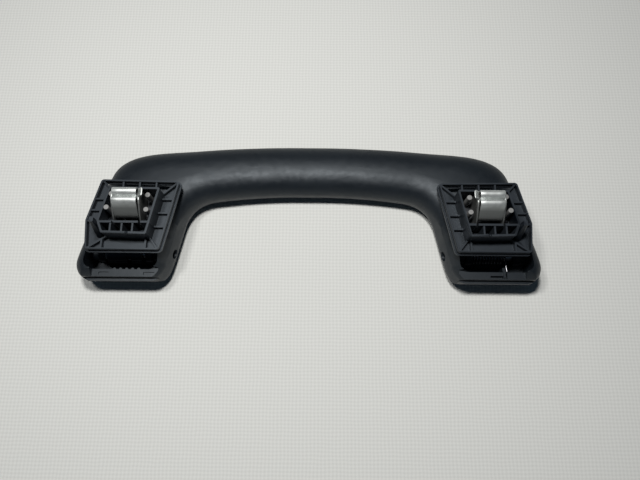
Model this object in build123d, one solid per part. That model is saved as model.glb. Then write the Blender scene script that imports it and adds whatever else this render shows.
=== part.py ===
from build123d import *
import os
from math import atan2, cos, degrees, hypot, pi, sin, sqrt

# Roof grab handle, in millimetres. X runs along the handle, Y across it with the grip at +Y,
# Z up out of its back. It lies on its front face at Z = 0, and the left half mirrors the right.

os.makedirs("parts", exist_ok=True)

# Handle outline, seen from the back
grip_inner_y = 10.8
grip_outer_y = 40.2
grip_mid_inner = (28.0, 10.1)
grip_mid_outer = (40.0, 39.0)
grip_end_inner = (54.0, 7.3)
grip_end_outer = (67.0, 36.8)
leg_top_inner = (70.7, -9.0)
leg_top_outer = (113.4, 18.0)
leg_foot_inner = (75.4, -29.5)
leg_foot_outer = (125.3, -29.0)
leg_end_y = -40.7
leg_end_inner_x = 86.5
leg_end_outer_x = 116.5

# Handle heights
grip_height = 21.0
grip_turn_height = 22.2
leg_height = 24.6
grip_widest_z = 10.5
leg_widest_z = 9.0
nose_lift = 8.0
nose_depth = 18.0
nose_round_centre = (-17.0, 18.0)
nose_round_radius = 23.7

# Section sampling: points to a quarter and how the turn is shared above and below
quarter_steps = 7
grip_stations = 5
corner_stations = 8
leg_stations = 3
nose_stations = 6
upper_powers = [2.1, 2.3, 3.0, 4.8, 4.8]
lower_powers = [2.2, 2.3, 3.0, 3.0, 3.0]
upper_share = 1.1
lower_share = 0.9

# Hinge
hinge_y = -24.2
hinge_z = 11.0
pin_radius = 2.0
pin_chamfer = 0.3
pin_running_gap = 0.08
pin_seat_gap = 0.03
pin_head_recess = 1.0
access_hole_radius = 2.6
plate_lift = 3.7

# Crisp shoulder along the leg's inner side: a drafted wall, then a slope
shoulder_z = 18.0
shoulder_draft = 1.5
shoulder_slope = 6.5 / 4.7
shoulder_foot_drop = 1.0
shoulder_start = 0.2
shoulder_over = 3.0
shoulder_out = (0.4, 9.0)

# Pocket in each leg
pocket_floor_z = 3.2
pocket_ramp_y = -28.5
pocket_ramp_z = 7.4
pocket_corner = 4.5
pocket_top_y = -6.0
pocket_foot_x = (81.0, 120.5)
pocket_top_x = (79.0, 116.6)
pocket_step_z = 6.1
pocket_step = 2.8
pocket_deep_corner = 10.0

# Ledge behind the pocket and what is moulded on it
ledge_y = -35.0
ledge_z = 20.0
ledge_inner_x = 80.4
brim_y = -39.0
brim_z = 16.6
bump_radius = 0.8
bump_height = 5.0
bump_first_x = 90.9
bump_pitch = 3.25
bump_count = 5
recess_spans = ((82.4, 88.2), (106.8, 112.2))
recess_depth = 0.8
recess_y = (-38.0, -36.5)
tab_x = (103.9, 105.0)
tab_slit_x = (97.2, 106.2)
tab_rise = 0.9
tab_y = (-38.1, -34.4)
slit_y = -38.4
slit_width = 1.4
slit_depth = 2.4

# Hinge pieces along the pin
pin_x = (77.1, 121.5)
inner_knuckle_inset = 5.95
outer_knuckle_inset = 3.45
knuckle_width = (3.6, 3.2)
knuckle_radius = 4.6
boss_radius = 3.7
side_gap = 0.35
neck_near = 9.4
neck_near_rise = 10.0
neck_far = 14.4
neck_far_rise = 8.64
neck_root = (4.2, -1.6)
neck_throat = (0.8, 4.5)
stop_gap = 0.2
stop_x = (88.0, 101.0)
stop_size = (2.4, 2.4)
stop_y = 2.2
sink = 0.3

# Bracket rim and boss box in plan, from the inner grip corner round by the outer side
rim_outline = [(69.4, 10.6), (111.2, 11.3), (117.3, -11.7), (116.0, -27.5), (77.6, -27.5)]
rim_corner = 1.8
rim_rise = 4.35
rim_wall = 0.9
rim_flange = 0.9
box_outline = [(77.2, 3.9), (103.8, 4.0), (105.7, -3.5), (108.2, -14.3), (105.5, -20.9), (82.4, -21.5)]
box_corner = 1.0
box_rise = 12.35
box_wall = 1.1
partition_y = -15.0
partition_x = (81.0, 107.6)
cell_rib_x = (89.7, 95.2, 101.1)
cell_rib_end_y = -21.0
nub_place = (92.3, -20.8)
nub_radius = 0.8
plate_gap = 0.35
plate_thickness = 1.2
rib = 0.9
rib_drop = 0.5
well_outline = [(79.0, 4.4), (104.3, 4.6), (109.4, 10.0), (71.8, 9.4)]
well_rib_x = (81.8, 90.7, 99.5)
well_rib_y = (3.4, 10.4)
rib_lines = [
    ((72.0, 0.4), (78.4, 0.4)),
    ((73.6, -7.3), (80.0, -7.3)),
    ((75.3, -14.9), (81.5, -14.9)),
    ((104.4, 0.4), (113.4, 0.4)),
    ((105.8, -5.9), (115.2, -5.9)),
    ((84.8, -26.9), (84.8, -21.0)),
    ((107.8, -26.9), (107.8, -22.0)),
    ((110.4, 10.6), (103.4, 3.6)),
    ((70.4, 9.9), (77.8, 3.4)),
    ((78.4, -26.8), (82.9, -21.0)),
    ((115.2, -26.8), (105.4, -20.2)),
    ((116.6, -11.7), (107.6, -14.3)),
]

# Guide horn at the box's outer lower corner: plan centre, width and length at foot and tip
horn_foot = (109.2, -17.8, 4.8, 6.6)
horn_tip = (109.4, -15.1, 2.2, 2.8)
horn_rise = 16.35
horn_corner_share = 0.35

# Spring clip: its tongue's fold points above the base, its cheeks and its strap
sheet = 0.8
clip_x = (87.0, 99.3)
clip_strap_y = (-10.4, 1.4)
tongue_rise = [(1.0, 18.75), (-2.6, 18.75), (-3.0, 15.4), (-4.7, 18.1), (-12.5, 10.35)]
tongue_bends = (1.2, 1.6, 1.4, 0.6, 0.8)
cheek_gap = 0.3
cheek_rise = [
    (1.4, 0.0),
    (-15.5, 0.0),
    (-15.5, 7.6),
    (-13.6, 9.6),
    (-4.9, 16.2),
    (-3.4, 16.6),
    (-3.2, 19.4),
    (0.4, 19.4),
    (1.4, 16.8),
]
strap_outline = [(79.4, 1.4), (103.1, 1.4), (104.2, -3.5), (105.25, -7.0), (105.6, -10.4), (81.7, -10.4)]
slot_play = 0.2
slot_reach = 2.0

# Rivets beside the clip
rivet_radius = 1.35
rivet_height = 12.15
rivet_edge = 0.35
rivet_places = [(83.0, -0.7), (83.2, -8.6), (103.7, -7.5), (101.85, -0.1)]

# Damper on the left hinge pin
barrel_radius = 4.4
barrel_x = (100.3, 110.8)
neck_x = (96.2, 100.3)
cap_x = (92.3, 97.7)
neck_radius = 3.6
rotor_radius = 3.0
rotor_gap = 0.08
key_width = 1.0
key_height = 0.5
key_root = 3.4
saddle_x = (101.5, 109.5)
saddle_reach = 4.0
saddle_z = 8.4
foot_x = (104.0, 107.0)
foot_width = 2.4
foot_rise = 1.0
foot_root = 3.6
seal_wire = 0.35
seal_x = 110.0
dog_width = 2.4
dog_depth = 1.2
dog_gap = 0.05

# Torsion spring on the right hinge pin
spring_wire = 1.1
spring_coil_radius = 3.6
spring_start_gap = 1.1
spring_end_x = 107.3
spring_turns = 10
spring_arm_angle = 35.0
spring_arm_length = 9.2
spring_seat_x = (105.8, 108.8)
spring_seat_y = -31.0
catch_reach = (5.4, 8.6)
catch_width = 1.2
catch_depth = 2.0

end_sweep_radius = leg_height + plate_lift - hinge_z
plate_z = leg_height + plate_lift + plate_gap
floor_z = plate_z + plate_thickness
rim_top_z = plate_z + rim_rise
box_top_z = plate_z + box_rise
pin_bore = pin_radius + pin_running_gap
rotor_bore = rotor_radius + rotor_gap
seat_bore = pin_radius + pin_seat_gap
below = pocket_floor_z - 0.5
above = leg_height + 10.0
beyond = 1.0
leg_span = (leg_top_inner[0] - beyond, leg_foot_outer[0] + beyond)


def along_pocket(foot_x, top_x, y):
    """Place along X of a pocket side wall at a given y."""
    return foot_x + (top_x - foot_x) * (y - ledge_y) / (pocket_top_y - ledge_y)


wall_in_x = along_pocket(pocket_foot_x[0], pocket_top_x[0], hinge_y)
wall_out_x = along_pocket(pocket_foot_x[1], pocket_top_x[1], hinge_y)
inner_knuckle = (wall_in_x + inner_knuckle_inset, wall_in_x + inner_knuckle_inset + knuckle_width[0])
outer_knuckle = (wall_out_x - outer_knuckle_inset - knuckle_width[1], wall_out_x - outer_knuckle_inset)
ledge_x = (ledge_inner_x, outer_knuckle[1] + side_gap)
spring_x = (inner_knuckle[1] + spring_start_gap, spring_end_x)


def xy(point, z=0.0):
    return Vector(point[0], point[1], z)


def block(x0, x1, y0, y1, z0, z1):
    """A box given by its limits."""
    size = (x1 - x0, y1 - y0, z1 - z0)
    return Pos((x0 + x1) / 2, (y0 + y1) / 2, (z0 + z1) / 2) * Box(*size)


def prism(points, z0, z1, corner=0.0):
    """An upright prism on a plan outline, with rounded corners if asked."""
    return upright(outline_face(points, 0.0, corner), z0, z1)


def outline_face(points, distance=0.0, corner=0.0):
    """A plan outline as a face, moved in or out and with rounded corners."""
    face = make_face(Polyline(*points, close=True))
    if distance:
        face = offset(face, amount=distance, kind=Kind.INTERSECTION)
    if corner:
        face = fillet(face.vertices(), corner)
    return face


def upright(face, z0, z1):
    return Pos(0, 0, z0) * extrude(face, z1 - z0)


def side_prism(points, x0, x1):
    """A prism along X on an outline given as (y, z) points."""
    face = make_face(Polyline(*[(0, y, z) for y, z in points], close=True))
    return Pos(x0, 0, 0) * extrude(face, x1 - x0, dir=(1, 0, 0))


def rod(x0, x1, radius, y=hinge_y, z=hinge_z):
    """A round bar along X."""
    return Pos((x0 + x1) / 2, y, z) * Rot(0, 90, 0) * Cylinder(radius, x1 - x0)


def mirrored(shape):
    return mirror(shape, Plane.YZ)


# Handle body


def handle_segments():
    """Inner and outer outline of the right half, in pairs from the middle to the leg's end."""
    leg_in = xy(leg_foot_inner) - xy(leg_top_inner)
    leg_out = xy(leg_foot_outer) - xy(leg_top_outer)
    grip_in = ThreePointArc((0, grip_inner_y), grip_mid_inner, grip_end_inner)
    grip_out = ThreePointArc((0, grip_outer_y), grip_mid_outer, grip_end_outer)
    corner_in = Spline(grip_end_inner, leg_top_inner, tangents=(grip_in % 1, leg_in.normalized()))
    corner_out = Spline(grip_end_outer, leg_top_outer, tangents=(grip_out % 1, leg_out.normalized()))
    end_in = (leg_end_inner_x, leg_end_y)
    end_out = (leg_end_outer_x, leg_end_y)
    nose_in = Spline(leg_foot_inner, end_in, tangents=(leg_in.normalized(), (1, 0)))
    nose_out = Spline(leg_foot_outer, end_out, tangents=(leg_out.normalized(), (-1, 0)))
    return [
        (grip_in, grip_out, grip_stations),
        (corner_in, corner_out, corner_stations),
        (Line(leg_top_inner, leg_foot_inner), Line(leg_top_outer, leg_foot_outer), leg_stations),
        (nose_in, nose_out, nose_stations),
    ]


def between(values, s):
    """Value at s on a chain of straight steps."""
    i = min(int(s), len(values) - 2)
    return values[i] + (values[i + 1] - values[i]) * (s - i)


def quarter(reach, rise, power):
    """Evenly spaced points of a quarter superellipse, from its side up to its crown."""
    dense = [pi / 2 * k / 90 for k in range(91)]
    curve = [(reach * (1 - cos(a) ** (2 / power)), rise * sin(a) ** (2 / power)) for a in dense[:-1]]
    curve.append((reach, rise))
    runs = [0.0]
    for (d0, h0), (d1, h1) in zip(curve, curve[1:]):
        runs.append(runs[-1] + hypot(d1 - d0, h1 - h0))
    points = []
    for k in range(quarter_steps):
        goal = runs[-1] * k / quarter_steps
        i = max(j for j, run in enumerate(runs) if run <= goal)
        t = (goal - runs[i]) / (runs[i + 1] - runs[i])
        (d0, h0), (d1, h1) = curve[i], curve[i + 1]
        points.append((d0 + (d1 - d0) * t, h0 + (h1 - h0) * t))
    return points + [(reach, rise)]


def section(inner, outer, s):
    """Closed section of the handle between an inner and an outer outline point."""
    across = (outer - inner).normalized()
    half = (outer - inner).length / 2
    top = between([grip_height, grip_turn_height, leg_height, leg_height, leg_height], s)
    widest = between([grip_widest_z, grip_widest_z, leg_widest_z, leg_widest_z, leg_widest_z], s)
    end_distance = max(0.0, (inner.Y + outer.Y) / 2 - leg_end_y)
    lift_run = max(0.0, 1 - end_distance / nose_depth)
    bottom = nose_lift * (1 - sqrt(1 - lift_run**2))
    upper = quarter(half, top - widest, between(upper_powers, s))
    lower = quarter(half, widest - bottom, between(lower_powers, s))
    ring = [(d, widest + h) for d, h in upper]
    ring += [(2 * half - d, widest + h) for d, h in upper[-2::-1]]
    ring += [(2 * half - d, widest - h) for d, h in lower[1:]]
    ring += [(d, widest - h) for d, h in lower[-2:0:-1]]
    placed = [inner + across * d + Vector(0, 0, z) for d, z in ring]
    shares = [upper_share] * (2 * quarter_steps) + [lower_share] * (2 * quarter_steps)
    knots = [0.0]
    for share in shares:
        knots.append(knots[-1] + share)
    return make_face(Edge.make_spline(placed, periodic=True, parameters=knots))


def handle_stations():
    """Outline pairs of the right half with their place along it, from the middle to the end."""
    stations = []
    for index, (inner, outer, count) in enumerate(handle_segments()):
        for k in range(0 if index == 0 else 1, count + 1):
            stations.append((inner @ (k / count), outer @ (k / count), index + k / count))
    return stations


def flipped(vector):
    return Vector(-vector.X, vector.Y, vector.Z)


def handle_form():
    """Grip and legs: a loft across the grip and one down a leg, met at a shared section."""
    stations = handle_stations()
    joint = grip_stations
    grip = [section(*station) for station in stations[: joint + 2]]
    grip_left = [section(flipped(i), flipped(o), s) for i, o, s in stations[joint + 1 : 0 : -1]]
    leg = loft([section(*station) for station in stations[joint - 1 :]])
    inner, outer, _ = stations[joint]
    across = (outer - inner).normalized()
    normal = across.cross(Vector(0, 0, 1))
    cut = Plane(origin=inner, x_dir=across, z_dir=normal)
    cut_left = Plane(origin=flipped(inner), x_dir=flipped(across), z_dir=flipped(normal))
    middle = split(loft(grip_left + grip), bisect_by=cut, keep=Keep.BOTTOM)
    middle = split(middle, bisect_by=cut_left, keep=Keep.BOTTOM)
    leg = split(leg, bisect_by=cut, keep=Keep.TOP)
    return middle, leg


def shoulder_cut():
    """What is cut off the leg's inner side: a drafted wall and a slope, fading out at the grip."""
    top = leg_height + shoulder_over
    foot = leg_widest_z - shoulder_foot_drop
    near, far = shoulder_out
    sections = []
    for inner, outer, s in handle_stations()[grip_stations + 3 : -2]:
        across = (outer - inner).normalized()
        share = min(1.0, s - 1.0)
        wall_d = shoulder_draft * share - shoulder_start * (1 - share)
        slope_d = wall_d + share * (top - shoulder_z) / shoulder_slope
        ring = [(-near, foot), (wall_d, shoulder_z), (slope_d, top), (-far, top), (-far, foot)]
        points = [inner + across * d + Vector(0, 0, z) for d, z in ring]
        sections.append(make_face(Polyline(*points, close=True)))
    return loft(sections)


def swing_room():
    """What the bracket's plate sweeps past the leg's end as it turns."""
    x0, x1 = leg_span
    corner = block(x0, x1, leg_end_y - beyond, hinge_y, hinge_z, above)
    return corner - rod(x0 - beyond, x1 + beyond, end_sweep_radius)


def nose_cut():
    """What is cut off below the brim, so that the leg's front face curves up to it."""
    y, z = nose_round_centre
    x0, x1 = leg_span
    corner = block(x0, x1, leg_end_y - beyond, y, -beyond, z)
    return corner - rod(x0 - beyond, x1 + beyond, nose_round_radius, y, z)


def ramp_height(y):
    """Height of the pocket's floor where it climbs towards the ledge."""
    share = (pocket_ramp_y - y) / (pocket_ramp_y - ledge_y)
    return pocket_floor_z + (pocket_ramp_z - pocket_floor_z) * share


def pocket_cut():
    """The pocket, narrower near its floor, which climbs towards the leg's lifted end."""
    foot_in, foot_out = pocket_foot_x
    top_in, top_out = pocket_top_x
    outline = [(foot_in, ledge_y), (foot_out, ledge_y), (top_out, pocket_top_y), (top_in, pocket_top_y)]
    deep = outline_face(outline, -pocket_step, pocket_deep_corner)
    cut = prism(outline, pocket_step_z, above, pocket_corner) + upright(deep, pocket_floor_z, pocket_step_z)
    start, end = (pocket_ramp_y, pocket_floor_z), (ledge_y, pocket_ramp_z)
    ramp = [(ledge_y, below), (pocket_ramp_y, below), start, end]
    return cut - side_prism(ramp, *leg_span)


def hinge_bosses():
    """Bosses on the pocket's side walls that hold the pin beside the bracket's knuckles."""
    inner_span = (wall_in_x - beyond, inner_knuckle[0] - side_gap)
    outer_span = (outer_knuckle[1] + side_gap, wall_out_x + beyond)
    bosses = []
    for x0, x1 in (inner_span, outer_span):
        foot = block(x0, x1, hinge_y - boss_radius, hinge_y + boss_radius, below, hinge_z)
        bosses += [rod(x0, x1, boss_radius), foot]
    return bosses


def pin_holes():
    access_end = pin_x[0] - pin_head_recess
    seat = rod(access_end - beyond, pin_x[1] + pin_seat_gap, seat_bore)
    return seat + rod(leg_span[0], access_end, access_hole_radius)


def leg_solid(form):
    """One leg with its end shaped, its pocket cut and the pin's bosses in place."""
    leg = form - shoulder_cut() - swing_room() - nose_cut() - pocket_cut()
    leg = leg - block(*ledge_x, leg_end_y - beyond, ledge_y + beyond, ledge_z, above)
    leg = leg - block(*leg_span, leg_end_y - beyond, brim_y, brim_z, above)
    return (leg + hinge_bosses()) - pin_holes()


def left_leg_trim(leg):
    """Stop bumps and shallow recesses on the ledge, and the damper's saddle in the pocket."""
    for k in range(bump_count):
        bump = Cylinder(bump_radius, bump_height, align=(Align.CENTER, Align.CENTER, Align.MAX))
        leg = leg + Pos(bump_first_x + k * bump_pitch, ledge_y, ledge_z) * bump
    for x0, x1 in recess_spans:
        leg = leg - block(x0, x1, *recess_y, ledge_z - recess_depth, above)
    saddle = block(*saddle_x, hinge_y - saddle_reach, hinge_y + saddle_reach, below, saddle_z)
    saddle = saddle - rod(saddle_x[0] - beyond, saddle_x[1] + beyond, barrel_radius + pin_seat_gap)
    saddle = saddle - damper_foot(slot_play / 2)
    return leg + saddle


def right_leg_trim(leg):
    """The slotted tab on the ledge and the seat of the spring's fixed arm."""
    slit_z = ledge_z - slit_depth
    leg = leg - block(tab_slit_x[0], tab_x[0], slit_y, slit_y + slit_width, slit_z, above)
    leg = leg - block(tab_x[1], tab_slit_x[1], slit_y, ledge_y + beyond, slit_z, above)
    leg = leg + block(*tab_x, *tab_y, slit_z - sink, ledge_z + tab_rise)
    seat_z = hinge_z + spring_coil_radius - spring_wire / 2 - pin_seat_gap
    foot_z = ramp_height(spring_seat_y) - sink
    back = ledge_y - sink
    seat = [(back, pocket_ramp_z - sink), (spring_seat_y, foot_z), (spring_seat_y, seat_z), (back, seat_z)]
    return leg + side_prism(seat, *spring_seat_x)


def handle_body():
    middle, form = handle_form()
    leg = leg_solid(form)
    return middle + right_leg_trim(leg) + mirrored(left_leg_trim(leg))


# Mounting bracket, modelled on the right side


def wall(points, thickness, z0, z1, corner):
    """An upright wall just inside a closed outline."""
    outer = upright(outline_face(points, 0.0, corner), z0, z1)
    return outer - upright(outline_face(points, -thickness, corner / 2), z0 - beyond, z1 + beyond)


def web(start, end, thickness, z0, z1):
    """A straight upright rib between two plan points."""
    along = (xy(end) - xy(start)).normalized()
    side = Vector(-along.Y, along.X) * (thickness / 2)
    a, b = xy(start), xy(end)
    return prism([a + side, b + side, b - side, a - side], z0, z1)


def bracket_plate():
    """Base plate with its rim and, along the grip side, a row of open cells."""
    flange = outline_face(rim_outline, rim_flange, rim_corner + rim_flange)
    plate = upright(flange, plate_z, floor_z) - prism(well_outline, plate_z - beyond, floor_z + beyond)
    plate = plate + wall(rim_outline, rim_wall, plate_z, rim_top_z, rim_corner)
    rib_top = rim_top_z - rib_drop
    for x in well_rib_x:
        plate = plate + web((x, well_rib_y[0]), (x, well_rib_y[1]), rib, plate_z, rib_top)
    return plate + [web(a, b, rib, plate_z, rib_top) for a, b in rib_lines]


def boss_box():
    """The open box that reaches through the roof, with its cells and partition."""
    box = wall(box_outline, box_wall, plate_z, box_top_z, box_corner)
    x0, x1 = partition_x
    box = box + web((x0, partition_y), (x1, partition_y), box_wall, plate_z, box_top_z)
    for x in cell_rib_x:
        box = box + web((x, partition_y), (x, cell_rib_end_y), rib, plate_z, box_top_z - rib_drop)
    return box + Pos(*nub_place, box_top_z) * Sphere(nub_radius)


def guide_horn():
    """The tapered horn at the box's outer lower corner that finds the roof's hole first."""
    faces = []
    for (x, y, width, length), z in ((horn_foot, plate_z), (horn_tip, plate_z + horn_rise)):
        face = Pos(x, y, z) * Rectangle(width, length)
        faces.append(fillet(face.vertices(), width * horn_corner_share))
    return loft(faces)


def hinge_arm(x0, x1):
    """A knuckle on the pin and the swan neck that carries the plate round the leg's end."""
    neck = [
        (hinge_y + neck_throat[0], hinge_z + neck_throat[1]),
        (hinge_y + neck_near, hinge_z + neck_near_rise),
        (hinge_y + neck_near, plate_z + sink),
        (hinge_y + neck_far, plate_z + sink),
        (hinge_y + neck_far, hinge_z + neck_far_rise),
        (hinge_y + neck_root[0], hinge_z + neck_root[1]),
        (hinge_y, hinge_z + neck_root[1]),
    ]
    return rod(x0, x1, knuckle_radius) + side_prism(neck, x0, x1)


def spring_catch():
    """The step on the inner knuckle's arm under the spring's moving arm."""
    top = spring_coil_radius - spring_wire / 2 - pin_seat_gap
    bar = block(inner_knuckle[1] - sink, spring_x[0] + catch_width, *catch_reach, top - catch_depth, top)
    return Pos(0, hinge_y, hinge_z) * Rot(spring_arm_angle, 0, 0) * bar


def rotor_dog(gap=0.0):
    """The flat tongue that couples the damper's rotor to the outer knuckle."""
    x0, x1 = outer_knuckle[0] - sink, outer_knuckle[0] + dog_depth + gap
    reach, rise = rotor_radius + gap, dog_width / 2 + gap
    return block(x0, x1, hinge_y - reach, hinge_y + reach, hinge_z - rise, hinge_z + rise)


def bracket_form():
    part = bracket_plate() + boss_box() + guide_horn()
    part = part + hinge_arm(*inner_knuckle) + hinge_arm(*outer_knuckle)
    half_x, half_y = stop_size[0] / 2, stop_size[1] / 2
    for x in stop_x:
        foot = block(x - half_x, x + half_x, stop_y - half_y, stop_y + half_y, leg_height + stop_gap, plate_z + sink)
        part = part + foot
    y0, y1 = partition_y - slot_reach, partition_y + slot_reach
    for x in cheek_places():
        part = part - block(x - slot_play, x + sheet + slot_play, y0, y1, floor_z, box_top_z + beyond)
    return part - rod(inner_knuckle[0] - beyond, outer_knuckle[1] + beyond, pin_bore)


def left_bracket():
    return mirrored(bracket_form() - rotor_dog(dog_gap))


def right_bracket():
    return bracket_form() + spring_catch()


# Spring clip and its rivets, modelled on the right side


def cheek_places():
    """Start along X of each cheek of the clip."""
    return (clip_x[0] - cheek_gap - sheet, clip_x[1] + cheek_gap)


def spring_clip():
    """Folded sheet: a base strap, two cheeks with ears, and a tongue with two crests."""
    mid = sheet / 2
    line = FilletPolyline(
        (clip_strap_y[0], mid),
        (clip_strap_y[1], mid),
        *tongue_rise,
        radius=tongue_bends,
    )
    strip = Plane(origin=(0, 0, 0), x_dir=(0, 1, 0), z_dir=(1, 0, 0)) * trace(line, sheet)
    tongue = Pos(clip_x[0], 0, floor_z) * extrude(strip, clip_x[1] - clip_x[0], dir=(1, 0, 0))
    clip = tongue + prism(strap_outline, floor_z, floor_z + sheet)
    cheek = [(y, floor_z + rise) for y, rise in cheek_rise]
    for x in cheek_places():
        clip = clip + side_prism(cheek, x, x + sheet)
    for x, y in rivet_places:
        clip = clip - Pos(x, y, floor_z) * Cylinder(rivet_radius, 3 * sheet)
    return clip


def clip_rivets():
    posts = []
    for x, y in rivet_places:
        post = Pos(x, y, floor_z + rivet_height / 2) * Cylinder(rivet_radius, rivet_height)
        posts.append(fillet(post.edges().sort_by(Axis.Z)[-1], rivet_edge))
    return posts[0] + posts[1:]


# Pieces on the hinge pins


def hinge_pin():
    pin = rod(*pin_x, pin_radius)
    return chamfer(pin.edges().filter_by(GeomType.CIRCLE), pin_chamfer)


def damper_key(x0, x1):
    """The raised line along the barrel's side."""
    near = hinge_y - barrel_radius - key_height
    return block(x0, x1, near, hinge_y - key_root, hinge_z - key_width / 2, hinge_z + key_width / 2)


def damper_foot(play=0.0):
    """The foot under the barrel that keeps it from turning in its saddle."""
    half = foot_width / 2 + play
    x0, x1 = foot_x[0] - play, foot_x[1] + play
    z0 = pocket_floor_z + foot_rise - play
    return block(x0, x1, hinge_y - half, hinge_y + half, z0, hinge_z - foot_root)


def damper_housing():
    """Barrel with a keyed rib, a narrower neck and a bore for the rotor."""
    housing = rod(*barrel_x, barrel_radius) + rod(*neck_x, neck_radius)
    housing = housing + damper_key(*barrel_x) + damper_foot()
    groove = rod(seal_x - seal_wire, barrel_x[1] + beyond, rotor_bore + 2 * seal_wire)
    return housing - rod(neck_x[0] - beyond, barrel_x[1] + beyond, rotor_bore) - groove


def damper_cap():
    """Cap over the housing's neck end."""
    cap = rod(*cap_x, barrel_radius) + damper_key(*cap_x)
    cap = cap - rod(neck_x[0], cap_x[1] + beyond, neck_radius + pin_seat_gap)
    return cap - rod(cap_x[0] - beyond, cap_x[1] + beyond, pin_bore)


def damper_rotor():
    """Rotor sleeve on the pin, coupled to the outer knuckle of the left bracket."""
    sleeve = rod(neck_x[0] + side_gap, outer_knuckle[0], rotor_radius)
    sleeve = sleeve + (rotor_dog() & rod(outer_knuckle[0] - beyond, outer_knuckle[1], rotor_radius))
    return sleeve - rod(neck_x[0], outer_knuckle[1], pin_bore)


def damper_seal():
    ring = Torus(rotor_bore + seal_wire, seal_wire)
    return Pos(seal_x, hinge_y, hinge_z) * Rot(0, 90, 0) * ring


def return_spring():
    """Torsion spring round the right pin, with one arm on the bracket and one on the leg."""
    x0, x1 = spring_x
    turns = spring_turns - spring_arm_angle / 360
    coil_path = Helix((x1 - x0) / turns, x1 - x0, spring_coil_radius, direction=(1, 0, 0))
    start = coil_path @ 0
    turn_to_start = 90 + spring_arm_angle - degrees(atan2(start.Z, start.Y))
    coil_path = Rot(turn_to_start, 0, 0) * coil_path
    profile = Plane(origin=coil_path @ 0, z_dir=coil_path % 0) * Circle(spring_wire / 2)
    coil = sweep(profile, path=coil_path, is_frenet=True)
    moving = arm_on(coil_path @ 0, coil_path % 0 * -1, spring_arm_length)
    fixed = arm_on(coil_path @ 1, coil_path % 1, spring_arm_length)
    return Pos(x0, hinge_y, hinge_z) * (coil + moving + fixed)


def arm_on(start, direction, length):
    """A straight length of the spring's wire."""
    return extrude(Plane(origin=start, z_dir=direction) * Circle(spring_wire / 2), length)


PIECES = {
    "handle_body": handle_body,
    "left_bracket": left_bracket,
    "right_bracket": right_bracket,
    "left_clip": lambda: mirrored(spring_clip()),
    "right_clip": spring_clip,
    "left_clip_rivets": lambda: mirrored(clip_rivets()),
    "right_clip_rivets": clip_rivets,
    "left_hinge_pin": lambda: mirrored(hinge_pin()),
    "right_hinge_pin": hinge_pin,
    "left_damper_housing": lambda: mirrored(damper_housing()),
    "left_damper_cap": lambda: mirrored(damper_cap()),
    "left_damper_rotor": lambda: mirrored(damper_rotor()),
    "left_damper_seal": lambda: mirrored(damper_seal()),
    "right_return_spring": return_spring,
}

# The frame's origin is under the middle of the handle
centring = Pos(0, -(grip_outer_y + leg_end_y) / 2, 0)

for name, make in PIECES.items():
    export_step(centring * make(), f"parts/{name}.step")
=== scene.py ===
import logging
import math
from dataclasses import dataclass
from enum import Enum

import bmesh
import bpy
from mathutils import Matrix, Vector


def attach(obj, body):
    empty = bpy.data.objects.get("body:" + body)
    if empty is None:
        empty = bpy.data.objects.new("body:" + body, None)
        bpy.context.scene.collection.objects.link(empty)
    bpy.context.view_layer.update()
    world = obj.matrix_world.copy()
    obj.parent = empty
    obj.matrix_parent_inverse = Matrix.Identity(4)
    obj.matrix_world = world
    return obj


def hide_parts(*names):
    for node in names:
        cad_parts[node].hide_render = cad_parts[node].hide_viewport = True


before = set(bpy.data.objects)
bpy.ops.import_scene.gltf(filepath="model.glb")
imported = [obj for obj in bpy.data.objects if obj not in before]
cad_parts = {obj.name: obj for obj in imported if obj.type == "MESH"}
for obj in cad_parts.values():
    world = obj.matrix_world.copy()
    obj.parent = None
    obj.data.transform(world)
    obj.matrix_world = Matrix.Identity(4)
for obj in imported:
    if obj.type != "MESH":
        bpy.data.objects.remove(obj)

log = logging.getLogger("roof_grab_handle")
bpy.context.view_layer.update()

Triple = tuple[float, float, float]
Colour = Triple
Range = tuple[float, float]
Point = tuple[float, float]
Socket = bpy.types.NodeSocket
Value = Socket | Colour | float

MM = 0.001
WHITE: Colour = (1.0, 1.0, 1.0)
UNIT: Range = (0.0, 1.0)
SHEET_MM = 0.8  # thickness of the clips' spring steel
EDGE_FACETS = 2  # facets across an eased edge
CREASE_DEG = 40.0  # a sharper corner keeps its crease in the shading
WAVE_RATE = 20.0  # radians that a wave texture's bands turn through in a metre, at scale 1


class Axis(Enum):
    """One of the frame's axes, by its number."""

    X = 0
    Y = 1
    Z = 2


class Joining(Enum):
    """How two values become one."""

    ADD = "ADD"
    MULTIPLY = "MULTIPLY"
    MAXIMUM = "MAXIMUM"


class Layer(Enum):
    """How one colour lies on another."""

    PAINT = "MIX"
    TINT = "MULTIPLY"


class MixSocket(Enum):
    """The places of a mix node's sockets where it mixes colours."""

    SHARE = 0
    UNDER = 6
    OVER = 7
    RESULT = 2


@dataclass(frozen=True)
class Pattern:
    """A noise: the size of its features, how many finer layers it has, and which values count."""

    size_mm: float
    layers: float = 2.0
    span: Range = (0.3, 0.7)


def shaded(colour: Colour, share: float) -> Colour:
    """A colour made darker or lighter by a factor."""
    return tuple(part * share for part in colour)


def deselect() -> None:
    """Leave nothing selected, so an operator acts on the new piece alone."""
    bpy.ops.object.select_all(action="DESELECT")


def dress(piece: bpy.types.Object, material: bpy.types.Material) -> None:
    """Give a piece one material in place of any that it has.

    Args:
        piece: the piece.
        material: what it wears.
    """
    piece.data.materials.clear()
    piece.data.materials.append(material)


def apply(piece: bpy.types.Object, kind: str, **settings: float | int | str | bool) -> None:
    """Add a modifier to a piece and apply it.

    Args:
        piece: the active object.
        kind: the modifier's type.
        settings: its values.
    """
    modifier = piece.modifiers.new(kind.lower(), kind)
    for key, value in settings.items():
        setattr(modifier, key, value)
    bpy.ops.object.modifier_apply(modifier=modifier.name)


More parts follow.
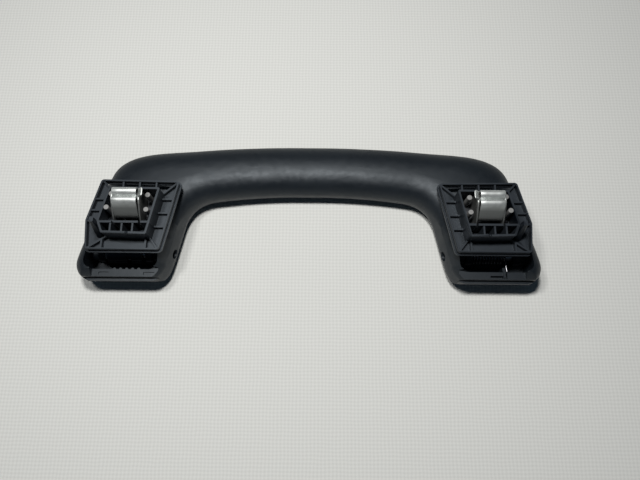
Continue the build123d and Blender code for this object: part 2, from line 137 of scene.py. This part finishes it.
def ease(piece: bpy.types.Object, width_mm: float, sharp_deg: float) -> None:
    """Round a piece's sharp edges and smooth its shading.

    Args:
        piece: the active object.
        width_mm: how wide the rounding is, in millimetres.
        sharp_deg: the least angle of an edge that is rounded.
    """
    apply(
        piece,
        "BEVEL",
        width=width_mm * MM,
        segments=EDGE_FACETS,
        limit_method="ANGLE",
        angle_limit=math.radians(sharp_deg),
    )
    bpy.ops.object.shade_smooth_by_angle(angle=math.radians(CREASE_DEG))


def spot(point: Point, level: float, axis: Axis) -> Vector:
    """Where a point of a drawing lies.

    Args:
        point: its two measures across the axis, in millimetres.
        level: its place along the axis, in millimetres.
        axis: the axis that the drawing stands square to.

    Returns:
        The place in metres.
    """
    place = list(point)
    place.insert(axis.value, level)
    return Vector(place) * MM


def face_outwards() -> None:
    """Turn the edited mesh's faces outwards and leave edit mode."""
    bpy.ops.mesh.select_all(action="SELECT")
    bpy.ops.mesh.normals_make_consistent(inside=False)
    bpy.ops.object.mode_set(mode="OBJECT")


class NodeGraph:
    """A material's node tree, with short calls for the nodes that these finishes share."""

    def __init__(self, name: str) -> None:
        """Start a material with a Principled shader.

        Args:
            name: the material's name.
        """
        self.material = bpy.data.materials.new(name)
        self.material.use_nodes = True
        self.tree = self.material.node_tree
        self.shader = self.tree.nodes["Principled BSDF"]
        self.coords = self.node("ShaderNodeTexCoord").outputs["Object"]

    def node(self, kind: str) -> bpy.types.Node:
        """Add a node of a kind."""
        return self.tree.nodes.new(kind)

    def feed(self, target: Socket, value: Value) -> None:
        """Give a socket what it takes.

        Args:
            target: the socket.
            value: a link from another socket, a linear RGB colour or a number.
        """
        if isinstance(value, Socket):
            self.tree.links.new(value, target)
        elif isinstance(value, tuple):
            target.default_value = (*value, 1.0)
        else:
            target.default_value = value

    def shade(self, name: str, value: Value) -> None:
        """Give one of the shader's own sockets a link, a colour or a number."""
        self.feed(self.shader.inputs[name], value)

    def noise(self, pattern: Pattern, stretch: Triple = (1.0, 1.0, 1.0)) -> Socket:
        """Noise with features of a real size.

        Args:
            pattern: the size of its features and its finer layers.
            stretch: factor along each axis.

        Returns:
            The noise's value.
        """
        mapping = self.node("ShaderNodeMapping")
        mapping.inputs["Scale"].default_value = stretch
        self.feed(mapping.inputs["Vector"], self.coords)
        node = self.node("ShaderNodeTexNoise")
        node.inputs["Scale"].default_value = 1.0 / (pattern.size_mm * MM)
        node.inputs["Detail"].default_value = pattern.layers
        self.feed(node.inputs["Vector"], mapping.outputs["Vector"])
        return node.outputs["Fac"]

    def span(self, value: Socket, source: Range, target: Range = UNIT) -> Socket:
        """Carry a value from one range to another, held at its ends.

        Args:
            value: the value to carry over.
            source: its low and high end.
            target: what they become.

        Returns:
            The new value.
        """
        node = self.node("ShaderNodeMapRange")
        node.clamp = True
        for socket, number in zip(node.inputs[1:5], (*source, *target)):
            socket.default_value = number
        self.feed(node.inputs[0], value)
        return node.outputs[0]

    def patches(self, pattern: Pattern, target: Range = UNIT) -> Socket:
        """Noise whose span is carried to another range."""
        return self.span(self.noise(pattern), pattern.span, target)

    def wave(self, axis: Axis, pitch_mm: float, waver: float, waver_scale: float) -> Socket:
        """Even bands across one axis, as threads lie, that waver a little.

        Args:
            axis: the axis that the bands follow one another along.
            pitch_mm: from one band to the next, in millimetres.
            waver: how far the bands stray.
            waver_scale: how quickly they stray.

        Returns:
            The bands' value, from 0 to 1.
        """
        node = self.node("ShaderNodeTexWave")
        node.bands_direction = axis.name
        node.inputs["Scale"].default_value = 2.0 * math.pi / (WAVE_RATE * pitch_mm * MM)
        node.inputs["Distortion"].default_value = waver
        node.inputs["Detail"].default_value = 1.0
        node.inputs["Detail Scale"].default_value = waver_scale
        self.feed(node.inputs["Vector"], self.coords)
        return node.outputs["Fac"]

    def join(self, how: Joining, first: Socket, second: Socket) -> Socket:
        """Make one value of two.

        Args:
            how: what is done with them.
            first: the one value.
            second: the other value.

        Returns:
            The new value.
        """
        node = self.node("ShaderNodeMath")
        node.operation = how.value
        self.feed(node.inputs[0], first)
        self.feed(node.inputs[1], second)
        return node.outputs[0]

    def mix(self, share: Value, under: Value, over: Value, layer: Layer = Layer.PAINT) -> Socket:
        """Lay one colour on another.

        Args:
            share: how much of the upper colour counts.
            under: the colour below.
            over: the colour above.
            layer: whether it covers or tints.

        Returns:
            The mixed colour.
        """
        node = self.node("ShaderNodeMix")
        node.data_type = "RGBA"
        node.blend_type = layer.value
        self.feed(node.inputs[MixSocket.SHARE.value], share)
        self.feed(node.inputs[MixSocket.UNDER.value], under)
        self.feed(node.inputs[MixSocket.OVER.value], over)
        return node.outputs[MixSocket.RESULT.value]

    def seen(self) -> Socket:
        """Tell rays that see a surface from those that light others.

        Returns:
            1 for rays that see it directly, mirrored or through glass, or else 0.
        """
        path = self.node("ShaderNodeLightPath")
        value = path.outputs["Is Camera Ray"]
        for name in ("Is Glossy Ray", "Is Transmission Ray"):
            value = self.join(Joining.MAXIMUM, value, path.outputs[name])
        return value

    def glow(self, share: Socket, colour: Colour) -> None:
        """Let the surface show an even colour.

        Args:
            share: how much of that colour takes the shader's place.
            colour: linear RGB.
        """
        light = self.node("ShaderNodeEmission")
        self.feed(light.inputs["Color"], colour)
        mixer = self.node("ShaderNodeMixShader")
        self.feed(mixer.inputs[0], share)
        self.feed(mixer.inputs[1], self.shader.outputs[0])
        self.feed(mixer.inputs[2], light.outputs[0])
        self.feed(self.tree.nodes["Material Output"].inputs["Surface"], mixer.outputs[0])

    def ridge(self) -> Socket:
        """How much the surface stands out as an edge or a rib, 0.5 where it is flat."""
        return self.node("ShaderNodeNewGeometry").outputs["Pointiness"]

    def height(self) -> Socket:
        """How high a point lies above the table, in metres."""
        node = self.node("ShaderNodeSeparateXYZ")
        self.feed(node.inputs[0], self.coords)
        return node.outputs["Z"]

    def reach(self) -> Socket:
        """How far a point is from the origin, in metres."""
        node = self.node("ShaderNodeVectorMath")
        node.operation = "LENGTH"
        self.feed(node.inputs[0], self.coords)
        return node.outputs["Value"]

    def bump(self, height: Socket, depth_mm: float, below: Socket | None = None) -> Socket:
        """Turn a height into a bump.

        Args:
            height: value from 0 to 1.
            depth_mm: real depth in millimetres.
            below: a normal that this one lies on.

        Returns:
            The bent normal.
        """
        node = self.node("ShaderNodeBump")
        node.inputs["Strength"].default_value = 1.0
        node.inputs["Distance"].default_value = depth_mm * MM
        self.feed(node.inputs["Height"], height)
        if below is not None:
            self.feed(node.inputs["Normal"], below)
        return node.outputs["Normal"]


@dataclass(frozen=True)
class MouldedPlastic:
    """Satin moulded plastic: fine spark grain, slow colour drift and paler edges, part wear, part
    painted highlight.
    """

    name: str
    colour: Colour
    rubbed: Colour
    roughness: Range = (0.40, 0.52)
    gloss: float = 0.5
    gleam: Colour = (0.87, 0.94, 1.0)
    grain: Pattern = Pattern(0.5, layers=1.0)
    grain_depth_mm: float = 0.012
    swell: Pattern = Pattern(18.0, layers=1.0)
    swell_depth_mm: float = 0.0
    drift: Pattern = Pattern(22.0, layers=3.0, span=(0.42, 0.72))
    mottle: Pattern = Pattern(4.0, layers=4.0)
    # Paler colour on convex edges and rib tops: partly wear, partly painted highlight.
    worn_and_highlit: Colour | None = None
    worn_and_highlit_span: Range = (0.55, 0.70)

    def build(self) -> bpy.types.Material:
        """Make the material.

        Returns:
            The finished material.
        """
        graph = NodeGraph(self.name)
        colour = graph.mix(graph.patches(self.drift), self.colour, self.rubbed)
        if self.worn_and_highlit is not None:
            # Painted highlight mixed with edge wear: convex edges and rib tops turn paler.
            colour = graph.mix(graph.span(graph.ridge(), self.worn_and_highlit_span), colour, self.worn_and_highlit)
        normal = graph.bump(graph.noise(self.grain), self.grain_depth_mm)
        if self.swell_depth_mm:
            normal = graph.bump(graph.noise(self.swell), self.swell_depth_mm, normal)
        graph.shade("Base Color", colour)
        graph.shade("Roughness", graph.patches(self.mottle, self.roughness))
        graph.shade("Normal", normal)
        graph.shade("Specular IOR Level", self.gloss)
        graph.shade("Specular Tint", self.gleam)
        return graph.material


@dataclass(frozen=True)
class RolledSteel:
    """Steel strip or wire with rolling lines, faint stains and, lower down, a painted shade."""

    name: str
    colour: Colour
    roughness: Range = (0.18, 0.34)
    lines_along: Axis = Axis.X
    lines: Pattern = Pattern(0.35)
    lines_stretch: float = 0.04
    lines_depth_mm: float = 0.003
    stain: Pattern = Pattern(5.0, layers=3.0, span=(0.45, 0.75))
    stained: float = 0.72
    # Painted shade: the heights below which the colour darkens, and how dark it gets.
    painted_shade_heights_mm: Range | None = None
    painted_shade_share: float = 0.38

    def build(self) -> bpy.types.Material:
        """Make the material.

        Returns:
            The finished material.
        """
        graph = NodeGraph(self.name)
        along = tuple(self.lines_stretch if axis is self.lines_along else 1.0 for axis in Axis)
        lines = graph.noise(self.lines, along)
        stained = shaded(self.colour, self.stained)
        colour = graph.mix(graph.patches(self.stain), self.colour, stained)
        # Painted shade: below these heights the colour darkens, standing in for shade on the lower
        # slope.
        if self.painted_shade_heights_mm is not None:
            low, high = (level * MM for level in self.painted_shade_heights_mm)
            darkened = graph.span(graph.height(), (low, high), (1.0, 0.0))
            colour = graph.mix(darkened, colour, shaded(self.colour, self.painted_shade_share))
        graph.shade("Base Color", colour)
        graph.shade("Roughness", graph.span(lines, self.lines.span, self.roughness))
        graph.shade("Normal", graph.bump(lines, self.lines_depth_mm))
        graph.shade("Metallic", 1.0)
        return graph.material


GRIP = MouldedPlastic(
    name="grip_plastic",
    colour=(0.0036, 0.0060, 0.0092),
    rubbed=(0.0056, 0.0084, 0.0120),
    roughness=(0.45, 0.52),
    gloss=0.46,
    grain=Pattern(0.55, layers=1.0),
    grain_depth_mm=0.018,
    swell_depth_mm=0.04,
)
BRACKET = MouldedPlastic(
    name="bracket_plastic",
    colour=(0.0016, 0.0030, 0.0058),
    rubbed=(0.0035, 0.0055, 0.0090),
    roughness=(0.40, 0.49),
    gloss=0.36,
    gleam=(0.84, 0.93, 1.0),
    grain=Pattern(0.4, layers=1.0),
    grain_depth_mm=0.014,
    # Paler convex edges and rib tops: partly wear, partly painted highlight.
    worn_and_highlit=(0.020, 0.024, 0.030),
)
DAMPER = MouldedPlastic(
    name="damper_plastic",
    colour=(0.016, 0.021, 0.034),
    rubbed=(0.022, 0.028, 0.042),
    roughness=(0.28, 0.36),
    grain=Pattern(0.6, layers=1.0),
    grain_depth_mm=0.006,
)
RIVET = MouldedPlastic(
    name="rivet_plastic",
    colour=(0.25, 0.25, 0.248),
    rubbed=(0.20, 0.20, 0.198),
    roughness=(0.35, 0.47),
    gloss=0.4,
    gleam=WHITE,
    grain_depth_mm=0.008,
)
ROTOR = MouldedPlastic(
    name="rotor_plastic",
    colour=(0.5, 0.5, 0.47),
    rubbed=(0.44, 0.44, 0.41),
    roughness=(0.3, 0.42),
    gleam=WHITE,
    grain_depth_mm=0.006,
)
SEAL = MouldedPlastic(
    name="seal_rubber",
    colour=(0.01, 0.01, 0.01),
    rubbed=(0.013, 0.013, 0.013),
    roughness=(0.5, 0.62),
    grain=Pattern(0.3, layers=1.0),
    grain_depth_mm=0.01,
)
STRIP = RolledSteel(
    name="clip_steel",
    colour=(0.66, 0.685, 0.675),
    roughness=(0.48, 0.58),
    # Painted shade on the clip's lower slope, below these heights.
    painted_shade_heights_mm=(44.6, 47.7),
)
STRAP = RolledSteel(name="strap_steel", colour=(0.035, 0.037, 0.041), roughness=(0.45, 0.58))
PIN = RolledSteel(name="pin_steel", colour=(0.5, 0.5, 0.51))
WIRE = RolledSteel(name="spring_wire", colour=(0.16, 0.16, 0.17))


@dataclass(frozen=True)
class Camera:
    """A camera at the photograph's viewing angle, placed in the handle's own frame."""

    place_mm: Triple = (6.83, -104.15, 318.0)
    tilt_deg: float = 16.2
    turn_deg: float = 0.52
    focal_px: float = 571.0
    width_px: float = 640.0
    sensor_mm: float = 36.0
    near_m: float = 0.01

    def build(self) -> None:
        """Add the camera and make it the scene's."""
        data = bpy.data.cameras.new("camera")
        data.sensor_fit = "HORIZONTAL"
        data.sensor_width = self.sensor_mm
        data.lens = self.focal_px / self.width_px * self.sensor_mm
        data.clip_start = self.near_m
        camera = bpy.data.objects.new("camera", data)
        camera.location = Vector(self.place_mm) * MM
        camera.rotation_euler = (math.radians(self.tilt_deg), 0.0, math.radians(self.turn_deg))
        bpy.context.scene.collection.objects.link(camera)
        bpy.context.scene.camera = camera


@dataclass(frozen=True)
class Lamp:
    """A soft rectangular lamp that looks at the handle."""

    name: str
    place: Triple
    size: tuple[float, float]
    watts: float
    colour: Colour = (1.0, 0.99, 0.97)

    def build(self) -> None:
        """Add the lamp."""
        data = bpy.data.lights.new(self.name, "AREA")
        data.shape = "RECTANGLE"
        data.size, data.size_y = self.size
        data.energy = self.watts
        data.color = self.colour
        lamp = bpy.data.objects.new(self.name, data)
        lamp.location = self.place
        lamp.rotation_euler = (-Vector(self.place)).to_track_quat("-Z", "Y").to_euler()
        bpy.context.scene.collection.objects.link(lamp)


@dataclass(frozen=True)
class Studio:
    """The woven sheet under the handle, the pale wall, the room's dim light and the lamps."""

    table_size: float = 6.0
    table_colour: Colour = (0.70, 0.705, 0.68)
    table_roughness: float = 0.85
    table_gloss: float = 0.2
    thread_mm: float = 1.96
    thread_depth_mm: float = 0.03
    thread_waver: float = 1.6
    thread_waver_scale: float = 0.6
    fibre: Pattern = Pattern(0.6)
    weave_span: Range = (0.4, 2.6)
    weave_depth: float = 0.075
    # Painted light: how much paler the sheet grows away from the centre, evening out the lamps'
    # falloff.
    painted_light_far: float = 1.17
    painted_light_span: Range = (0.03, 0.26)
    fade_span: Range = (0.32, 1.1)
    pale: Colour = (0.44, 0.45, 0.44)
    wall_colour: Colour = (0.02, 0.02, 0.02)
    wall_radius: float = 2.9
    wall_height: float = 2.2
    wall_sides: int = 96
    room_colour: Colour = (0.45, 0.70, 1.0)
    room_level: float = 0.032
    lamps: tuple[Lamp, ...] = (
        Lamp("main_lamp", (-0.022, 0.036, 0.46), (0.056, 0.056), 1.50),
        Lamp("side_lamp", (-0.17, 0.042, 0.57), (0.070, 0.070), 0.95),
    )

    def table(self) -> None:
        """Lay the pale woven sheet that the handle lies on."""
        deselect()
        bpy.ops.mesh.primitive_grid_add(
            x_subdivisions=2, y_subdivisions=2, size=self.table_size, location=(0, 0, 0)
        )
        sheet = bpy.context.object
        sheet.name = "table"
        graph = NodeGraph("table_cloth")
        warp, weft = (
            graph.wave(axis, self.thread_mm, self.thread_waver, self.thread_waver_scale)
            for axis in (Axis.X, Axis.Y)
        )
        threads = graph.join(Joining.ADD, warp, weft)
        cloth = graph.join(Joining.ADD, threads, graph.noise(self.fibre))
        tone = graph.span(cloth, self.weave_span)
        low = shaded(self.table_colour, 1.0 - self.weave_depth)
        high = shaded(self.table_colour, 1.0 + self.weave_depth)
        # Painted light: the sheet grows paler away from the centre, evening out the lamps' falloff.
        painted_light = graph.span(graph.reach(), self.painted_light_span)
        painted_light_tint = graph.mix(painted_light, WHITE, shaded(WHITE, self.painted_light_far))
        graph.shade("Base Color", graph.mix(1.0, graph.mix(tone, low, high), painted_light_tint, Layer.TINT))
        graph.shade("Normal", graph.bump(tone, self.thread_depth_mm))
        graph.shade("Roughness", self.table_roughness)
        graph.shade("Specular IOR Level", self.table_gloss)
        away = graph.span(graph.reach(), self.fade_span)
        graph.glow(graph.join(Joining.MULTIPLY, away, graph.seen()), self.pale)
        dress(sheet, graph.material)

    def backdrop(self) -> None:
        """Stand a pale round wall far behind the table on all sides."""
        deselect()
        bpy.ops.mesh.primitive_cylinder_add(
            vertices=self.wall_sides,
            radius=self.wall_radius,
            depth=self.wall_height,
            end_fill_type="NOTHING",
            location=(0, 0, 0),
        )
        wall = bpy.context.object
        wall.name = "backdrop"
        graph = NodeGraph("backdrop_paper")
        graph.shade("Base Color", self.wall_colour)
        graph.glow(graph.seen(), self.pale)
        dress(wall, graph.material)

    def room(self) -> None:
        """Fill the world with a dim even light."""
        world = bpy.data.worlds.new("room")
        world.use_nodes = True
        background = world.node_tree.nodes["Background"]
        background.inputs["Color"].default_value = (*self.room_colour, 1.0)
        background.inputs["Strength"].default_value = self.room_level
        bpy.context.scene.world = world

    def build(self) -> None:
        """Set the studio up."""
        self.table()
        self.backdrop()
        self.room()
        for lamp in self.lamps:
            lamp.build()
        bpy.context.scene.view_settings.view_transform = "Standard"


@dataclass(frozen=True)
class Strip:
    """Bent sheet metal: one edge is extruded along a profile, then smoothed and thickened."""

    name: str
    profile: tuple[Point, ...]
    reach: Range
    across: Axis
    thickness_mm: float = SHEET_MM
    side: float = -1.0
    smooth: int = 2
    edge_mm: float = 0.09
    sharp_deg: float = 50.0

    def build(self) -> bpy.types.Object:
        """Draw the strip.

        Returns:
            The finished strip.
        """
        deselect()
        bpy.ops.mesh.primitive_plane_add(size=1.0)
        piece = bpy.context.object
        piece.name = self.name
        bpy.ops.object.mode_set(mode="EDIT")
        form = bmesh.from_edit_mesh(piece.data)
        form.verts.ensure_lookup_table()
        bmesh.ops.delete(form, geom=form.verts[2:], context="VERTS")
        for vertex, level in zip(form.verts, self.reach):
            vertex.co = spot(self.profile[0], level, self.across)
        bmesh.update_edit_mesh(piece.data)
        bpy.ops.mesh.select_all(action="SELECT")
        for before, after in zip(self.profile, self.profile[1:]):
            step = spot(after, 0.0, self.across) - spot(before, 0.0, self.across)
            bpy.ops.mesh.extrude_region_move(TRANSFORM_OT_translate={"value": step})
        face_outwards()
        apply(piece, "SUBSURF", levels=self.smooth, render_levels=self.smooth)
        thickness = self.thickness_mm * MM
        apply(piece, "SOLIDIFY", thickness=thickness, offset=self.side, use_even_offset=True)
        ease(piece, self.edge_mm, self.sharp_deg)
        return piece


@dataclass(frozen=True)
class Plate:
    """Flat sheet metal: an outline that is extruded by its thickness."""

    name: str
    outline: tuple[Point, ...]
    level_mm: float
    across: Axis
    thickness_mm: float = SHEET_MM
    edge_mm: float = 0.12
    sharp_deg: float = 20.0

    def build(self) -> bpy.types.Object:
        """Cut the plate.

        Returns:
            The finished plate.
        """
        deselect()
        bpy.ops.mesh.primitive_circle_add(
            vertices=len(self.outline), radius=1.0, fill_type="NGON"
        )
        piece = bpy.context.object
        piece.name = self.name
        bpy.ops.object.mode_set(mode="EDIT")
        form = bmesh.from_edit_mesh(piece.data)
        for vertex, point in zip(form.verts, self.outline):
            vertex.co = spot(point, self.level_mm, self.across)
        bmesh.update_edit_mesh(piece.data)
        bpy.ops.mesh.select_all(action="SELECT")
        step = spot((0.0, 0.0), self.thickness_mm, self.across)
        bpy.ops.mesh.extrude_region_move(TRANSFORM_OT_translate={"value": step})
        face_outwards()
        ease(piece, self.edge_mm, self.sharp_deg)
        return piece


@dataclass(frozen=True)
class SpringClip:
    """One folded steel clip: strap, two cheeks, a curled ear and a tongue with two rolled crests.

    The profiles give Y, or for the ear X, and the rise above the strap's level, in millimetres.
    """

    node: str
    body: str
    sign: float
    slot: str = "spring_steel"
    floor_z: float = 29.85
    shift_y: float = 0.25
    ear_mm: float = 0.6
    strap_mm: float = 0.76
    strap_lift: float = 0.02
    tongue_x: Range = (87.0, 99.3)
    cheek_x: Range = (85.9, 99.6)
    ear_y: Range = (-3.6, 0.7)
    tongue: tuple[Point, ...] = (
        (1.35, 0.9), (1.35, 8.0), (1.35, 15.6), (1.25, 18.0), (0.2, 19.05), (-1.4, 19.05),
        (-2.7, 18.1), (-3.3, 16.9), (-3.35, 16.9), (-3.9, 18.0), (-5.3, 18.35), (-6.9, 17.5),
        (-8.2, 15.9), (-10.2, 13.3), (-12.0, 11.0), (-12.5, 9.5), (-12.2, 8.4),
    )
    cheek: tuple[Point, ...] = (
        (1.2, 0.1), (-15.4, 0.1), (-15.4, 7.4), (-13.6, 9.5),
        (-9.4, 13.2), (-4.9, 16.1), (-3.4, 16.4), (1.2, 16.4),
    )
    ear: tuple[Point, ...] = (
        (86.4, 13.5), (86.4, 15.6), (86.0, 17.0), (85.1, 18.2), (84.3, 18.9), (83.7, 18.8),
    )
    strap: tuple[Point, ...] = (
        (79.5, 1.3), (103.0, 1.3), (104.1, -3.5), (105.15, -7.0), (105.5, -10.3), (81.8, -10.3),
    )

    def raised(self, points: tuple[Point, ...]) -> tuple[Point, ...]:
        """Points of a profile along Y, from the strap's level to the frame's own."""
        return tuple((y + self.shift_y, rise + self.floor_z) for y, rise in points)

    def tongue_strip(self) -> bpy.types.Object:
        """Draw the tongue."""
        reach = tuple(self.sign * x for x in self.tongue_x)
        return Strip(f"{self.node}_tongue", self.raised(self.tongue), reach, Axis.X).build()

    def ear_strip(self) -> bpy.types.Object:
        """Draw the curled ear beside the upper crest."""
        profile = tuple((self.sign * x, rise + self.floor_z) for x, rise in self.ear)
        reach = tuple(y + self.shift_y for y in self.ear_y)
        return Strip(f"{self.node}_ear", profile, reach, Axis.Y, self.ear_mm, side=0.0).build()

    def cheek_plates(self) -> list[bpy.types.Object]:
        """Cut the two cheeks."""
        plates = []
        for name, x in zip(("inner", "outer"), self.cheek_x):
            level = x if self.sign > 0 else -x - SHEET_MM
            plate = Plate(f"{self.node}_{name}_cheek", self.raised(self.cheek), level, Axis.X)
            plates.append(plate.build())
        return plates

    def strap_plate(self) -> bpy.types.Object:
        """Cut the strap that the rivets hold."""
        outline = tuple((self.sign * x, y + self.shift_y) for x, y in self.strap)
        level = self.floor_z + self.strap_lift
        return Plate(f"{self.node}_strap", outline, level, Axis.Z, self.strap_mm).build()

    def build(self) -> None:
        """Make the clip, dress it and hang it on its bracket."""
        bright = STRIP.build()
        darkened = STRAP.build()
        bright_pieces = [self.tongue_strip(), self.ear_strip(), *self.cheek_plates()]
        pieces = [(piece, bright) for piece in bright_pieces] + [(self.strap_plate(), darkened)]
        for piece, finish in pieces:
            dress(piece, finish)
            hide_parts(self.node)
            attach(piece, self.body)
            log.info("%s made, %d faces", piece.name, len(piece.data.polygons))


@dataclass(frozen=True)
class EasedPiece:
    """A CAD piece taken over with its sharp edges eased, as a mould leaves them."""

    node: str
    body: str
    finish: MouldedPlastic
    slot: str
    edge_mm: float
    sharp_deg: float = 35.0
    weld_mm: float = 0.002
    flat_deg: float = 0.8
    large_faces_weight: int = 90

    def weld(self) -> bpy.types.Object:
        """Copy the node's triangles, join them and leave flat faces whole.

        Returns:
            The new piece.
        """
        deselect()
        piece = bpy.data.objects.new(f"{self.node}_eased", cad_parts[self.node].data.copy())
        bpy.context.scene.collection.objects.link(piece)
        bpy.context.view_layer.objects.active = piece
        piece.select_set(True)
        bpy.ops.object.mode_set(mode="EDIT")
        bpy.ops.mesh.select_all(action="SELECT")
        bpy.ops.mesh.remove_doubles(threshold=self.weld_mm * MM)
        bpy.ops.mesh.dissolve_limited(angle_limit=math.radians(self.flat_deg))
        bpy.ops.object.mode_set(mode="OBJECT")
        return piece

    def build(self) -> None:
        """Make the piece, ease its edges, dress it and hang it on its body."""
        piece = self.weld()
        ease(piece, self.edge_mm, self.sharp_deg)
        apply(piece, "WEIGHTED_NORMAL", keep_sharp=True, weight=self.large_faces_weight)
        dress(piece, self.finish.build())
        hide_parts(self.node)
        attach(piece, self.body)
        log.info("%s eased by %.2f mm, %d faces", self.node, self.edge_mm, len(piece.data.polygons))


@dataclass(frozen=True)
class InnerParts:
    """The rivets, pins, damper and spring, whose CAD shapes stay and only get their finishes."""

    finishes: dict[str, MouldedPlastic | RolledSteel]

    def build(self) -> None:
        """Put each finish on its node."""
        for node, finish in self.finishes.items():
            dress(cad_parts[node], finish.build())
            log.info("%s wears %s", node, finish.name)


def main() -> None:
    """Build the studio and the handle, and report each step."""
    Camera().build()
    Studio().build()
    EasedPiece("handle_body", "handle", GRIP, "grip_moulding", 0.30).build()
    EasedPiece("left_bracket", "left_mount", BRACKET, "bracket_moulding", 0.22).build()
    EasedPiece("right_bracket", "right_mount", BRACKET, "bracket_moulding", 0.22).build()
    SpringClip("left_clip", "left_mount", -1.0).build()
    SpringClip("right_clip", "right_mount", 1.0).build()
    InnerParts(
        {
            "left_clip_rivets": RIVET,
            "right_clip_rivets": RIVET,
            "left_hinge_pin": PIN,
            "right_hinge_pin": PIN,
            "left_damper_housing": DAMPER,
            "left_damper_cap": DAMPER,
            "left_damper_rotor": ROTOR,
            "left_damper_seal": SEAL,
            "right_return_spring": WIRE,
        }
    ).build()


if __name__ == "__main__":
    logging.basicConfig(level=logging.INFO)
    main()
